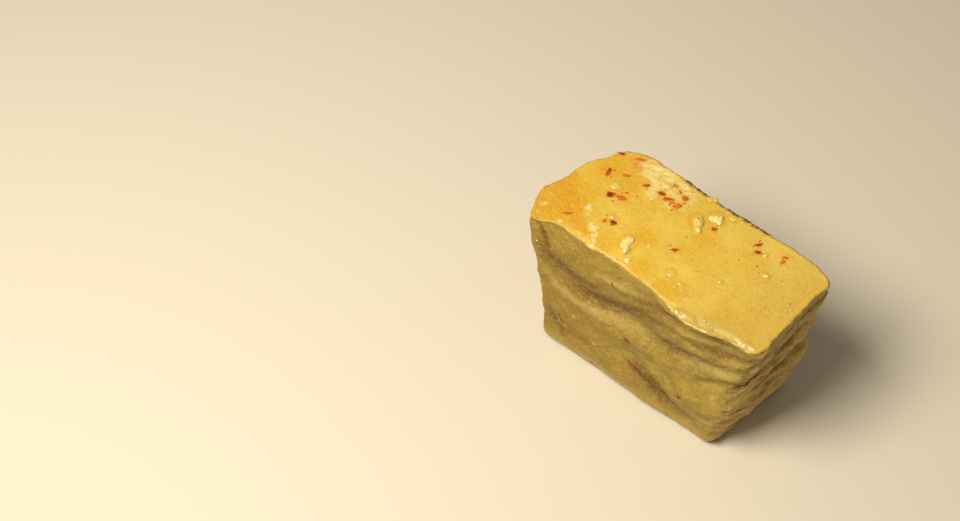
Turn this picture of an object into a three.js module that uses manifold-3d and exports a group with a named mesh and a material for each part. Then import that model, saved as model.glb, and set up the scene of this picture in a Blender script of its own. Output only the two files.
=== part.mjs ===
// A block of fermented bean curd, standing on its narrow foot.
// Millimetres, +Z up. The long side runs along X, the wrinkled front wall faces -Y, and the origin
// is the middle of the foot's bounding box, on the surface that the block stands on.
import * as THREE from "three";
import { mergeVertices } from "three/addons/utils/BufferGeometryUtils.js";
import Module from "manifold-3d";

// ---- driving dimensions ----
const LENGTH = 38.5; // cut top, along X
const WIDTH = 18; // cut top, along Y
const HEIGHT = 26;

const TOP_EDGE_RADIUS = 0.7; // the knife leaves the top rim fairly sharp
const FOOT_EDGE_RADIUS = 1.6;
const CORNER_RADIUS = { frontLeft: 1.2, frontRight: 1.8, backRight: 4, backLeft: 7 };

// How far each wall stands in from the top's outline when it reaches the foot. Negative is a flare.
const FOOT_INSET = { left: 3.2, rightFront: 4.4, rightBack: 2.0, front: -0.7, back: 1.1 };
const TAPER_POWER = 1.3; // above 1, the front and the right end lean in mostly near the foot

// Grid of the block: columns along X, along Y, and rows up the wall.
const COLUMNS_X = 42;
const COLUMNS_Y = 18;
const ARC_ROWS = 2; // rows in the rounding of the top rim and of the foot
const WALL_ROWS = 24; // rows between the two roundings
const ROWS = WALL_ROWS + 2 * ARC_ROWS;
const END_DENSITY = 0.62; // 0 spaces the columns evenly, and towards 1 they crowd at the corners
const MERGE_GAP = 1e-4; // vertices this close are one vertex of the solid

// The front left corner of the top is torn off along a crease. The torn face starts one step down
// and falls away from the crease.
const TEAR = {
  back: [-LENGTH / 2, 1], // where the crease meets the left rim
  front: [-8.7, -WIDTH / 2], // where it meets the front rim
  step: 0.35,
  fallAngle: THREE.MathUtils.degToRad(7),
};

// The cut top isn't quite flat: it is a little crowned, and dips in one long shallow hollow.
const CROWN = 0.3;
const HOLLOW = { x: 5, y: 1, depth: 0.25, reach: 7 };

// Folds of the pressed skin. Each follows a bent line over the unrolled walls, in [s, z]: s runs from
// the front left corner along the front, the right end, the back and the left end, and z goes up.
// push is how far the fold stands out of the wall, or is let into it, and half its breadth is reach.
const FRONT_END = LENGTH;
const RIGHT_END = FRONT_END + WIDTH;
const BACK_END = RIGHT_END + LENGTH;
const ROUND = BACK_END + WIDTH;
const FOLDS = [
  { name: "lip", from: [20.3, 25.6], bend: [27.5, 26.2], to: [35.4, 25.8], push: 1.65, reach: 1.5 },
  { name: "swag of the lip", from: [17, 22.4], bend: [28, 23.8], to: [38, 23.8], push: -0.85, reach: 1.1 },
  { name: "flat of the front rim", from: [4, 26], bend: [13, 25.6], to: [23, 26], push: -0.5, reach: 1.6 },
  { name: "worn front rim", from: [-4, 25.4], bend: [4.4, 24.8], to: [11.4, 25.4], push: -1.25, reach: 1.5 },
  { name: "hollow under the rim", from: [-2, 22], bend: [10, 8], to: [27, 22], push: -1.0, reach: 2.0 },
  { name: "rib under the rim", from: [7, 22.8], bend: [16, 23], to: [26, 20], push: 0.5, reach: 0.9 },
  { name: "crease under the lip", from: [26, 19.6], bend: [35, 23.4], to: [47, 24], push: -0.75, reach: 0.9 },
  { name: "upper fold", from: [17, 18], bend: [29, 18.6], to: [44, 23.4], push: 0.5, reach: 1.0 },
  { name: "long furrow", from: [13, 18], bend: [27, 13.6], to: [42, 22], push: -0.8, reach: 0.9 },
  { name: "belly", from: [-2, 20], bend: [13, 4.8], to: [43, 21.6], push: 0.95, reach: 2.2 },
  { name: "mouth crease", from: [27, 10.6], bend: [38, 18], to: [50, 20.6], push: -0.9, reach: 1.0 },
  { name: "lower lobe", from: [20, 11], bend: [35, 6.4], to: [51, 13], push: 1.2, reach: 2.8 },
  { name: "gathered corner", from: [38.4, 24], bend: [38.8, 12], to: [39.6, -4], push: -1.0, reach: 2.8 },
  { name: "slanting crease", from: [17, 13.4], bend: [26, 9], to: [37, 4.4], push: -0.7, reach: 1.1 },
  { name: "slanting furrow", from: [15, 14.4], bend: [23.5, 3.8], to: [36, 1], push: -0.9, reach: 1.3 },
  { name: "lower swag", from: [2, 11], bend: [15, 4], to: [32, -1], push: 0.55, reach: 2.2 },
  { name: "left foot crease", from: [2, 10], bend: [7.6, 0.6], to: [18, 8.4], push: -0.55, reach: 1.0 },

  { name: "end rim furrow", from: [38, 22.4], bend: [47, 21.8], to: [58, 22.4], push: -0.4, reach: 1.0 },
  { name: "end rib", from: [39, 16.6], bend: [48, 18.6], to: [58, 17.8], push: 0.65, reach: 1.1 },
  { name: "end furrow", from: [38, 14.6], bend: [48, 14], to: [58, 13.6], push: -0.8, reach: 1.2 },
  { name: "end lobe", from: [41, 10], bend: [52, 11.8], to: [64, 10.6], push: 0.9, reach: 2.4 },
  { name: "end lip", from: [35, 4.4], bend: [47, 5.6], to: [60, 4.8], push: 0.6, reach: 1.2 },
  { name: "end foot crease", from: [36, 1.6], bend: [47, 2.6], to: [60, 2], push: -0.7, reach: 1.1 },
  { name: "far corner", from: [52, 36], bend: [55, 26], to: [57, 12], push: 0.9, reach: 1.9 },

  { name: "back swelling", from: [75, 26], bend: [86, 24], to: [96, 26], push: 0.7, reach: 2.6 },
  { name: "back furrow", from: [55, 21], bend: [74, 14], to: [96, 20.6], push: -0.9, reach: 1.8 },
  { name: "back belly", from: [56, 13.4], bend: [75, 7.4], to: [95, 14], push: 1.0, reach: 2.6 },
  { name: "back rib", from: [60, 22.2], bend: [76, 18.4], to: [94, 23], push: 0.55, reach: 1.1 },
  { name: "back crease", from: [59, 7], bend: [72, 1.8], to: [88, 7.6], push: -0.8, reach: 1.1 },

  { name: "worn corner", from: [97, 42], bend: [98, 26], to: [98, 8], push: -0.9, reach: 4.0 },
  { name: "left knob", from: [107.8, 38], bend: [108.4, 25], to: [109.4, 10], push: 1.9, reach: 2.7 },
  { name: "left corner flare", from: [113, 42], bend: [113, 24], to: [113, 2], push: 1.0, reach: 2.1 },
  { name: "left furrow", from: [93, 19.6], bend: [104, 12.6], to: [116, 17.4], push: -0.7, reach: 1.6 },
  { name: "left lobe", from: [94, 11.4], bend: [104, 6.8], to: [114, 11.4], push: 0.8, reach: 2.4 },
];
const FOLD_STEPS = 20; // straight steps that a fold's line is measured along
const INWARD_FADE = 6; // how fast a fold of the rim dies out inside the top and foot

// ---- the folds ----
const foldLines = FOLDS.map(({ from, bend, to, push, reach }) => {
  const ends = [from, bend, to].map(([s, z]) => new THREE.Vector2(s, z));
  return { points: new THREE.QuadraticBezierCurve(...ends).getPoints(FOLD_STEPS), push, reach };
});

// Push of one fold at a place on the unrolled wall. It is fullest halfway along and dies out at both ends.
function pushOfFold({ points, push, reach }, s, z) {
  const place = new THREE.Vector2(s, z);
  let nearest = Infinity;
  let along = 0;
  points.forEach((point, i) => {
    const gap = place.distanceTo(point);
    if (gap < nearest) {
      nearest = gap;
      along = i / FOLD_STEPS;
    }
  });
  return push * Math.sin(Math.PI * along) ** 2 * Math.exp(-((nearest / reach) ** 2));
}

// Push of all folds, with the walls unrolled once more on either side so that none is cut at s = 0.
function pushAt(s, z) {
  let sum = 0;
  for (const fold of foldLines) {
    for (const turn of [-ROUND, 0, ROUND]) sum += pushOfFold(fold, s + turn, z);
  }
  return sum;
}

// ---- the plan outline ----
// Corner radius of the quarter of the plan that (u, v) lies in.
function cornerRadius(u, v) {
  if (v < 0) return u < 0 ? CORNER_RADIUS.frontLeft : CORNER_RADIUS.frontRight;
  return u < 0 ? CORNER_RADIUS.backLeft : CORNER_RADIUS.backRight;
}

// The nearest place of the inner rectangle that the corner turns about, and the arm from it to (u, v).
function armOf(u, v) {
  const radius = cornerRadius(u, v);
  const inner = new THREE.Vector2(LENGTH / 2 - radius, WIDTH / 2 - radius);
  const point = new THREE.Vector2((u * LENGTH) / 2, (v * WIDTH) / 2);
  const centre = point.clone().clamp(inner.clone().negate(), inner);
  return { centre, arm: point.sub(centre) };
}

// Takes (u, v) of the square from -1 to 1 into the top's outline, so that nested squares become
// nested rounded rectangles.
function planPoint(u, v) {
  const { centre, arm } = armOf(u, v);
  if (arm.length() > 0) arm.multiplyScalar(Math.max(Math.abs(arm.x), Math.abs(arm.y)) / arm.length());
  return centre.add(arm);
}

// Direction straight out of the wall that (u, v) is nearest to.
function outward(u, v) {
  const edge = Math.max(Math.abs(u), Math.abs(v));
  return edge > 0 ? armOf(u / edge, v / edge).arm.normalize() : new THREE.Vector2();
}

// Where (u, v) lies on the unrolled walls: the walls' s of the nearest place on the outline.
function wallPlace(u, v) {
  const alongX = ((u + 1) * LENGTH) / 2;
  const alongY = ((v + 1) * WIDTH) / 2;
  if (Math.abs(v) >= Math.abs(u)) return v < 0 ? alongX : BACK_END - alongX;
  return u > 0 ? FRONT_END + alongY : ROUND - alongY;
}

// ---- rows up the wall ----
// Height of a row and how far the roundings take it in from the outline.
function rowOf(index) {
  if (index <= ARC_ROWS) {
    const turn = (index / ARC_ROWS) * (Math.PI / 2);
    return { z: FOOT_EDGE_RADIUS * (1 - Math.cos(turn)), inset: FOOT_EDGE_RADIUS * (1 - Math.sin(turn)) };
  }
  if (index >= ROWS - ARC_ROWS) {
    const turn = ((ROWS - index) / ARC_ROWS) * (Math.PI / 2);
    return {
      z: HEIGHT - TOP_EDGE_RADIUS * (1 - Math.cos(turn)),
      inset: TOP_EDGE_RADIUS * (1 - Math.sin(turn)),
    };
  }
  const share = (index - ARC_ROWS) / WALL_ROWS;
  return { z: THREE.MathUtils.lerp(FOOT_EDGE_RADIUS, HEIGHT - TOP_EDGE_RADIUS, share), inset: 0 };
}

// ---- leaning walls ----
// Moves a plan point in as its wall leans. down is 0 at the top and 1 at the foot.
function lean(plan, down) {
  const back = plan.y / WIDTH + 0.5; // 0 at the front, 1 at the back
  const hollowLean = 1 - (1 - down) ** 2; // most of it just under the rim
  const undercut = down ** TAPER_POWER;
  const right = THREE.MathUtils.lerp(FOOT_INSET.rightFront, FOOT_INSET.rightBack, back) * undercut;
  const left = FOOT_INSET.left * hollowLean;
  const inX = plan.x < 0 ? left : right;
  const inY = plan.y < 0 ? FOOT_INSET.front * undercut : FOOT_INSET.back * hollowLean;
  const shareX = 1 - inX / (LENGTH / 2);
  const shareY = 1 - inY / (WIDTH / 2);
  return new THREE.Vector2(plan.x * shareX, plan.y * shareY);
}

// Height of the top at a plan point, over the nominal height.
function topRelief(x, y) {
  const crown = CROWN * (1 - (2 * x / LENGTH) ** 2) * (1 - (2 * y / WIDTH) ** 2);
  const far = Math.hypot(x - HOLLOW.x, y - HOLLOW.y) / HOLLOW.reach;
  return crown - HOLLOW.depth * Math.exp(-far * far);
}

// ---- the whole block ----
// Takes one vertex of the plain box, given as u, v from -1 to 1 and its row, to its place.
function placeOf(u, v, index) {
  const { z, inset } = rowOf(index);
  const plan = planPoint(u, v);
  const edge = Math.max(Math.abs(u), Math.abs(v)); // 1 on the walls, less inside the top and foot
  const push = pushAt(wallPlace(u, v), z) * edge ** INWARD_FADE;
  const leaned = lean(plan, 1 - z / HEIGHT).addScaledVector(outward(u, v), push - inset * edge);
  const raised = index === ROWS ? topRelief(plan.x, plan.y) : 0;
  return new THREE.Vector3(leaned.x, leaned.y, z + raised);
}

// Packs the grid's lines closer towards the corners, where the outline turns.
function denserAtEnds(share) {
  const bias = END_DENSITY * (Math.PI / 2);
  return Math.sin(share * bias) / Math.sin(bias);
}

function blockGeometry() {
  const box = new THREE.BoxGeometry(2, 2, ROWS, COLUMNS_X, COLUMNS_Y, ROWS);
  const position = box.getAttribute("position");
  for (let i = 0; i < position.count; i++) {
    const u = denserAtEnds(position.getX(i));
    const v = denserAtEnds(position.getY(i));
    const place = placeOf(u, v, Math.round(position.getZ(i) + ROWS / 2));
    position.setXYZ(i, place.x, place.y, place.z);
  }
  return box;
}

// The wedge that the tear takes off: its underside is the torn face, and its upright side the crease.
function tearGeometry() {
  const reach = LENGTH; // larger than what it cuts
  const [backX, backY] = TEAR.back;
  const [frontX, frontY] = TEAR.front;
  const profile = new THREE.Shape()
    .lineTo(reach, -reach * Math.tan(TEAR.fallAngle))
    .lineTo(reach, reach)
    .lineTo(0, reach);
  const wedge = new THREE.ExtrudeGeometry(profile, { depth: 2 * reach, bevelEnabled: false });
  wedge.translate(0, 0, -reach);
  wedge.rotateX(Math.PI / 2);
  wedge.rotateZ(Math.atan2(backY - frontY, backX - frontX) + Math.PI / 2);
  return wedge.translate((backX + frontX) / 2, (backY + frontY) / 2, HEIGHT - TEAR.step);
}

// ---- cutting ----
const wasm = await Module();
wasm.setup();

function solidOf(geometry) {
  const bare = geometry.clone();
  bare.deleteAttribute("normal");
  bare.deleteAttribute("uv");
  const merged = mergeVertices(bare, MERGE_GAP);
  return new wasm.Manifold(
    new wasm.Mesh({
      numProp: 3,
      vertProperties: merged.getAttribute("position").array,
      triVerts: new Uint32Array(merged.index.array),
    }),
  );
}

function geometryOf(solid) {
  const mesh = solid.getMesh();
  const geometry = new THREE.BufferGeometry();
  geometry.setAttribute("position", new THREE.BufferAttribute(new Float32Array(mesh.vertProperties), 3));
  geometry.setIndex(new THREE.BufferAttribute(new Uint32Array(mesh.triVerts), 1));
  geometry.computeVertexNormals();
  return geometry;
}

// Sets the middle of the bounding box over the origin.
function centred(geometry) {
  geometry.computeBoundingBox();
  const middle = geometry.boundingBox.getCenter(new THREE.Vector3());
  return geometry.translate(-middle.x, -middle.y, 0);
}

// ---- the object ----
const curd = new THREE.Mesh(
  centred(geometryOf(solidOf(blockGeometry()).subtract(solidOf(tearGeometry())))),
  new THREE.MeshStandardMaterial({ color: 0xd9b65c, roughness: 0.5, metalness: 0 }),
);
curd.name = "curd_block";

const beanCurd = new THREE.Group();
beanCurd.add(curd);

export default beanCurd;
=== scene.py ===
import math
import random

import bpy
import numpy as np
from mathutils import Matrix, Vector, noise
from mathutils.bvhtree import BVHTree


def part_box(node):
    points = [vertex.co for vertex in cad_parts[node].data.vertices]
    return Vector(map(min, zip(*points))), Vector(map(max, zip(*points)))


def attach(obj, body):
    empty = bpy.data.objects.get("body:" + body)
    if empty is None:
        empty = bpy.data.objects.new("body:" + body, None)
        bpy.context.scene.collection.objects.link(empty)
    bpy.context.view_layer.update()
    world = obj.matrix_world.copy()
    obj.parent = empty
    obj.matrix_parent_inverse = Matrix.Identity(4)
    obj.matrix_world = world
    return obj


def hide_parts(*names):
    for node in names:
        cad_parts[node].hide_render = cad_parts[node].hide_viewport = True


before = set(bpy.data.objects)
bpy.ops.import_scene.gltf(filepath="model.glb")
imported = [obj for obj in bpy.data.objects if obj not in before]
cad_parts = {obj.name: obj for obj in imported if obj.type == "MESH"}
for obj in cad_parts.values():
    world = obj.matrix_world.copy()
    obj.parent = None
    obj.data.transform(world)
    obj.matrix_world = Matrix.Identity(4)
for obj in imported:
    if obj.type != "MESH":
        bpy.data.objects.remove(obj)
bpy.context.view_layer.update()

# A block of fermented bean curd with its brine film, crumbs of curd, chilli and ground spice.
# Sizes are in millimetres from the middle of the block's foot, and mm turns them to metres.
scene = bpy.context.scene
scene.view_settings.view_transform = "Standard"
mm = 0.001
random.seed(7)

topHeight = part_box("curd_block")[1][2] / mm


def linearColour(hexText):
    # sRGB hex to the linear values that shaders work in
    parts = [int(hexText[i : i + 2], 16) / 255 for i in (1, 3, 5)]
    return [p / 12.92 if p <= 0.04045 else ((p + 0.055) / 1.055) ** 2.4 for p in parts] + [1]


def addNode(tree, kind, settings=None, links=None):
    # a key is one of the node's inputs, by name or number, or else one of its properties
    node = tree.nodes.new(kind)
    for key, value in (settings or {}).items():
        if isinstance(key, int) or key in node.inputs:
            node.inputs[key].default_value = value
        else:
            setattr(node, key, value)
    for key, source in (links or {}).items():
        tree.links.new(source, node.inputs[key])
    return node


def newMaterial(name):
    material = bpy.data.materials.new(name)
    material.use_nodes = True
    return material, material.node_tree, material.node_tree.nodes["Principled BSDF"]


def stackColours(tree, base, layers):
    # lays each tint over those below it, as far as its mask and strength say
    below = None
    for tint, mask, strength in layers:
        share = addNode(tree, "ShaderNodeMath", {"operation": "MULTIPLY", 1: strength}, {0: mask})
        settings = {"data_type": "RGBA", 6: linearColour(base), 7: linearColour(tint)}
        links = {0: share.outputs[0]}
        if below:
            links[6] = below
        below = addNode(tree, "ShaderNodeMix", settings, links).outputs[2]
    return below


def deselectAll():
    if bpy.context.mode != "OBJECT":
        bpy.ops.object.mode_set(mode="OBJECT")
    bpy.ops.object.select_all(action="DESELECT")


def pick(*pieces):
    deselectAll()
    for piece in pieces:
        piece.select_set(True)
    bpy.context.view_layer.objects.active = pieces[0]


def applyModifier(piece, kind, **settings):
    pick(piece)
    modifier = piece.modifiers.new(kind.lower(), kind)
    for key, value in settings.items():
        setattr(modifier, key, value)
    bpy.ops.object.modifier_apply(modifier=modifier.name)


def verticesOf(piece):
    flat = np.empty(len(piece.data.vertices) * 3, np.float32)
    piece.data.vertices.foreach_get("co", flat)
    return flat.reshape(-1, 3).astype(float) / mm


def normalsOf(piece):
    flat = np.empty(len(piece.data.vertices) * 3, np.float32)
    piece.data.vertex_normals.foreach_get("vector", flat)
    return flat.reshape(-1, 3).astype(float)


def moveVertices(piece, places):
    piece.data.vertices.foreach_set("co", (places * mm).astype(np.float32).ravel())
    piece.data.update()


def neighbourMean(piece, values, times):
    # each vertex takes the mean of itself and its neighbours, so many times
    ends = np.empty(len(piece.data.edges) * 2, np.int32)
    piece.data.edges.foreach_get("vertices", ends)
    a, b = ends.reshape(-1, 2).T
    count = np.bincount(a, minlength=len(values)) + np.bincount(b, minlength=len(values)) + 1
    values = np.array(values, float)
    columns = values.reshape(len(values), -1)
    for _ in range(times):
        for column in columns.T:
            total = column + np.bincount(a, column[b], len(column)) + np.bincount(b, column[a], len(column))
            column[:] = total / count
    return values


def roughness(points, size, octaves=2, seed=0):
    # fractal noise of about -1 to 1; size is the size of its lumps, one for all axes or one for each
    scaled = points / np.array(size) + seed * 13.7
    return np.array([noise.fractal(Vector(p), 1.0, 2.0, octaves) for p in scaled])


def ramp(low, high, x):
    t = np.clip((x - low) / (high - low), 0, 1)
    return t * t * (3 - 2 * t)


def bell(distance, reach):
    return np.exp(-((distance / reach) ** 2))


def nearSpots(flat, spots):
    # 1 at the middle of any spot, given as x, y and reach, and less farther out
    best = np.zeros(len(flat))
    for x, y, reach in spots:
        best = np.maximum(best, bell(np.hypot(flat[:, 0] - x, flat[:, 1] - y), reach))
    return best


def paint(piece, name, values):
    # a number or a vector for each vertex, which a material reads by its name
    if values.ndim == 1:
        layer = piece.data.attributes.new(name, "FLOAT", "POINT")
        layer.data.foreach_set("value", np.clip(values, 0, 1).astype(np.float32))
    else:
        layer = piece.data.attributes.new(name, "FLOAT_VECTOR", "POINT")
        layer.data.foreach_set("vector", values.astype(np.float32).ravel())


def smoothLine(points, steps=48):
    # a curve through all the points
    points = np.array(points, float)
    guides = np.vstack([2 * points[0] - points[1], points, 2 * points[-1] - points[-2]])
    line = []
    for i in range(len(points) - 1):
        a, b, c, d = guides[i : i + 4]
        for t in np.linspace(0, 1, steps // (len(points) - 1), endpoint=False):
            cubic = 2 * b + (c - a) * t + (2 * a - 5 * b + 4 * c - d) * t**2 + (3 * b - a - 3 * c + d) * t**3
            line.append(cubic / 2)
    return np.array(line + [points[-1]])


def gapToLine(points, places):
    # how far each place is from the line, whether it lies above it, and how far along it, 0 to 1
    line = smoothLine(points)
    gap = np.full(len(places), 1e9)
    above = np.zeros(len(places), bool)
    along = np.zeros(len(places))
    for i, knot in enumerate(line):
        arm = places - knot
        far = np.hypot(arm[:, 0], arm[:, 1])
        closer = far < gap
        gap[closer] = far[closer]
        above[closer] = arm[closer, 1] > 0
        along[closer] = i / (len(line) - 1)
    return gap, above, along


# The block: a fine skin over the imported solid, sculpted with what the pressing cloth and the brine left.
curd = {
    "voxel": 0.218,  # mesh size of the skin
    "smoothing": 3,
    "broadTimes": 55,  # rounds of neighbourMean that even out the folds, so that furrows can be found
    "facingTimes": 4,  # rounds that even out the normals, to tell which way a wall faces
    "lumpSize": 3.0,
    "lumpDepth": 0.2,  # soft unevenness of the walls
    "streakSize": (5.5, 1.1),  # along and across the folds
    "streakDepth": 0.1,
    "fineStreakSize": (2.6, 0.5),
    "fineStreakDepth": 0.04,
    "wrinkleDepth": 0.09,  # thin creases in the hollows
    "grainSize": 0.6,
    "grainDepth": 0.025,
    "endDepth": 0.27,  # the right end is the roughest
    "creaseWobble": 0.35,
    "fleckCount": 70,
    "fleckRadius": (0.15, 0.32),
    "fleckHeight": 0.07,
    "topWave": 0.06,
    "rimSharpness": 0.22,
    "lipRise": 0.1,
    "lipFall": 0.38,  # the lip slopes down to the front
    "bandWidth": 1.1,  # pale strip along the torn corner's front rim
    "rindHeight": 0.15,
}

# Places on the front wall and the right end are [w, z], where w = x + y + 10 runs along the front and on
# round the corner. On the back wall and the left end w is 10 - x - y, which runs on in the same way.
foldRise = {
    1: [
        (-19, 8.6), (-15, 6), (-11.6, 2.3), (-6.3, 0), (-2.8, 0.9), (1.6, 2.7), (9.2, 4), (16, 4.8),
        (21, 7), (38, 8),
    ],
    -1: [(-19, 3), (-10, 0.4), (-4, 0), (4, 2), (14, 5), (22, 4), (30, 2), (38, 3)],
}
footRise = {
    1: [
        (-19, 6), (-13, 2.4), (-10, 0), (-8.5, 0.3), (-4.2, 3), (1, 4), (3, 3.4), (8, 0.4), (13.5, -3),
        (22, -4), (38, -3),
    ],
    -1: [(-19, 2), (-6, 0), (8, 1.5), (20, 0), (38, 2)],
}
# Creases: side, depth, width, breadth of the band of painted shade and brown brine stain over it, and line.
# Side is 1 for the front wall and the right end, and -1 for the back wall and the left end.
creases = [
    (1, 0.3, 0.4, 0.7, [(16.7, 14), (19.2, 15.2), (21.2, 16.4), (23.8, 17.6), (28.0, 19)]),
    (1, 0.15, 0.5, 1.5, [
        (-2.8, 20.8), (0.6, 21.6), (5, 22.2), (8, 23.4), (11, 24.2), (14.1, 24.7), (17, 24.8),
        (20, 24.8), (24, 24.6),
    ]),
    (1, 0.15, 0.5, 0.6, [
        (6.4, 19.6), (9, 20), (12, 20.5), (15, 21.3), (17.2, 22.1), (19.2, 22.6), (21.6, 23.2),
    ]),
    (1, 0.14, 0.7, 1, [(1.8, 16.4), (6, 16.3), (9.4, 16.8), (12.7, 17.6), (16.2, 18.8)]),
    (1, 0.25, 0.9, 1.8, [(1.4, 8.4), (3.4, 6.6), (5.4, 5.2), (8.6, 4.4), (11.5, 4.2), (14.9, 3.4)]),
    (1, 0.22, 0.35, 0.7, [(0, 8), (1.6, 7), (3.4, 6.1), (5.6, 4.6), (8.2, 2.9), (11.2, 1.9)]),
    (1, 0.2, 0.4, 0.7, [(-13.4, 8.4), (-12.4, 6.2), (-11.0, 4.7), (-8.8, 4.5)]),
    (1, 0.1, 0.8, 1.9, [
        (-11.8, 16.6), (-8.8, 15.4), (-6.3, 15.6), (-2.8, 16.8), (0.4, 18.4), (4.2, 19.6), (8.2, 20.2),
        (12, 20.4),
    ]),
    (1, 0.1, 0.5, 0.6, [(17.4, 20.6), (20.3, 21.4), (22.6, 22.8)]),
    (1, 0.12, 0.35, 0.4, [(-17.4, 24.6), (-15.4, 24.4), (-14.2, 22.6), (-13.4, 20.6), (-12.4, 19.2)]),
    (1, 0.08, 0.5, 1.1, [(-16.8, 22.8), (-13.8, 20), (-10.8, 18.4), (-6.8, 18.2), (-2.8, 20.2)]),
    (1, 0.15, 0.5, 1.0, [(24.2, 23.4), (28.2, 23.6), (34.2, 23.8), (38.2, 24)]),
    (1, 0.35, 0.4, 0.7, [(25.2, 20), (28.4, 19.8), (31.2, 20.2), (35.2, 20.6)]),
    (1, 0.4, 0.5, 0.9, [(23.7, 15.4), (27.2, 14.2), (31.2, 13.8), (36.2, 14.4)]),
    (1, 0.35, 0.4, 0.8, [(19.7, 10.4), (22.2, 9), (25.2, 8), (30.2, 7.2), (35.2, 8)]),
    (1, 0.1, 0.5, 1.2, [(23, 11), (27.5, 10.7), (33, 11.4)]),
    (-1, 0.35, 0.5, 1.3, [(-16.2, 20), (-9.2, 17), (-2.2, 15.4), (5.8, 16.4), (13.8, 19.4)]),
    (-1, 0.3, 0.5, 1.2, [(-12.2, 9), (-5.2, 6), (2.8, 5), (9.8, 6.8)]),
    (-1, 0.3, 0.45, 1.2, [(17.8, 12), (23.8, 9.4), (29.8, 9), (35.8, 11)]),
    (-1, 0.25, 0.5, 1, [(-16, 23), (-8, 21.4), (1, 20.4), (9, 21.6), (18, 23)]),
    (-1, 0.2, 0.4, 0.7, [(-6, 11.4), (0, 9.8), (7, 10.2), (13, 12.4)]),
    (-1, 0.3, 0.5, 1.1, [(10, 16), (16, 18.6), (23, 20.4), (31, 20.6)]),
    (-1, 0.2, 0.4, 0.8, [(-14, 4), (-8, 2.6), (0, 2), (8, 3.4)]),
]
# Crests of the folds, raised and painted paler as painted light on the ridges: side, height, width and line
crests = [
    (1, 0.12, 0.7, [
        (-15.3, 17.2), (-13.7, 15.7), (-12.1, 14.2), (-9.6, 13.3), (-6.9, 13.4), (-3.3, 14.1),
        (0.7, 15.3), (5.3, 16.6),
    ]),
    (1, 0.06, 0.5, [(-6.0, 21.4), (-4.5, 21.9), (-1.3, 22.6), (2.5, 23.1)]),
    (1, 0.1, 0.5, [(7.5, 21), (10.7, 21.6), (13.3, 22.1), (16, 23), (18.4, 23.6)]),
    (1, 0.1, 0.8, [(6.1, 16.7), (9.2, 17), (12, 17.2), (15.3, 17.7), (17.6, 18.4), (20.2, 19.7)]),
    (1, 0.15, 1.1, [(9.1, 3.4), (11.5, 4.7), (14.5, 5.5), (17.2, 7.6), (20.2, 9.2), (22, 12)]),
    (1, 0.2, 0.7, [(24.4, 18), (27.4, 17.2), (31, 16.8), (35, 17.4)]),
    (1, 0.15, 0.6, [(24.8, 21.8), (28.4, 21.6), (33, 22.2), (37, 22.2)]),
    (-1, 0.2, 0.9, [(-14.2, 17), (-7.2, 14), (-0.2, 12.6), (7.8, 14)]),
    (-1, 0.15, 0.8, [(-10, 19.4), (-2, 18), (5, 18.6), (12, 20.4)]),
    (-1, 0.15, 0.8, [(0, 7), (7, 7.4), (13, 9)]),
    (-1, 0.1, 0.9, [(15.8, 17), (21.8, 15), (28.8, 15.4)]),
]

# Places on the cut top are [x, y].
tearLine = [(-19, 1.7), (-7.7, -8.6)]
frontRim = [
    (-19.1, -5.7), (-18.4, -7.1), (-17.3, -7.8), (-16.1, -8.0), (-14.0, -8.2), (-10.9, -8.3),
    (-8.3, -8.3), (-4.5, -8.4), (0.3, -8.7), (3.3, -9.1), (5.3, -9.5),
]
lipLine = [
    (6.4, -9.3, 0.3), (7.2, -9.2, 0.5), (8.7, -9, 0.85), (10.4, -8.6, 1), (12, -8.4, 0.8),
    (13.3, -8, 0.7), (14.6, -7.7, 0.6), (16, -7.6, 0.5), (17.2, -7.7, 0.45), (18.5, -7.7, 0.35),
]
rimNub = {"at": (-0.3, 9.8, 24.9), "height": 0.5, "reach": 0.9}
slant = np.array([[0.86, -0.5, 0], [0.5, 0.86, 0], [0, 0, 1]])  # turns places by 30 degrees
rindLine = [(-5.1, 9.3), (-2.1, 9.5), (-0.5, 10.1), (1.5, 9.7), (4.3, 9.3), (8.3, 9.3)]

# Soft spots on the top: [x, y, reach]
fibreSpots = [
    (-11, 8.3, 0.9), (-9.9, 8.7, 1.0), (-8.7, 8.7, 0.9), (-8.6, 7.2, 0.9), (-7, 8.2, 0.7),
    (-4.4, 8.3, 0.8),
]
rawSpots = [
    (-11.7, 8.3, 1.2), (-10.1, 7.5, 1.9), (-7.7, 6.5, 2.1), (-7.7, 4.7, 1.4), (-5.3, 6.5, 2.0),
    (-3.5, 7.3, 1.8), (-4.5, 4.7, 1.2), (-3.1, 5.5, 1.0), (-9.2, 8.6, 1.4), (-7.4, 8.5, 1.6),
    (-5.4, 8.5, 1.5),
]
filmSpots = [
    (-16.7, -3.1, 4.5), (-10.7, -7.1, 2.2), (12.3, -6.3, 2.6), (15.8, -5.7, 1.8), (-6.9, -6.7, 2.0),
    (-0.7, -6.7, 2.2), (2.9, -7.3, 1.6), (-14.7, 4.9, 2.5), (4.7, -6.5, 1.8), (-3.3, -2.1, 2.2),
    (2.8, 2.9, 2.6), (-10.7, 4.4, 2.5),
]
stainSpots = [(-12.6, 8.1, 1.1), (-11.9, 7.1, 0.9), (-15.1, 3.7, 0.8)]
wornSpots = [
    (-12.6, -3.1, 0.7), (-12, -4, 0.45), (-10.6, -5.1, 0.5), (-9.8, -5.5, 0.8), (-9.2, -6.4, 0.5),
    (-8.6, -7.1, 0.5), (-8.2, -7.8, 0.35), (-18.3, -5.7, 0.35), (-19.1, -3.9, 0.25), (-14.6, -6.9, 0.35),
    (-13, -7.5, 0.45),
]

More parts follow.
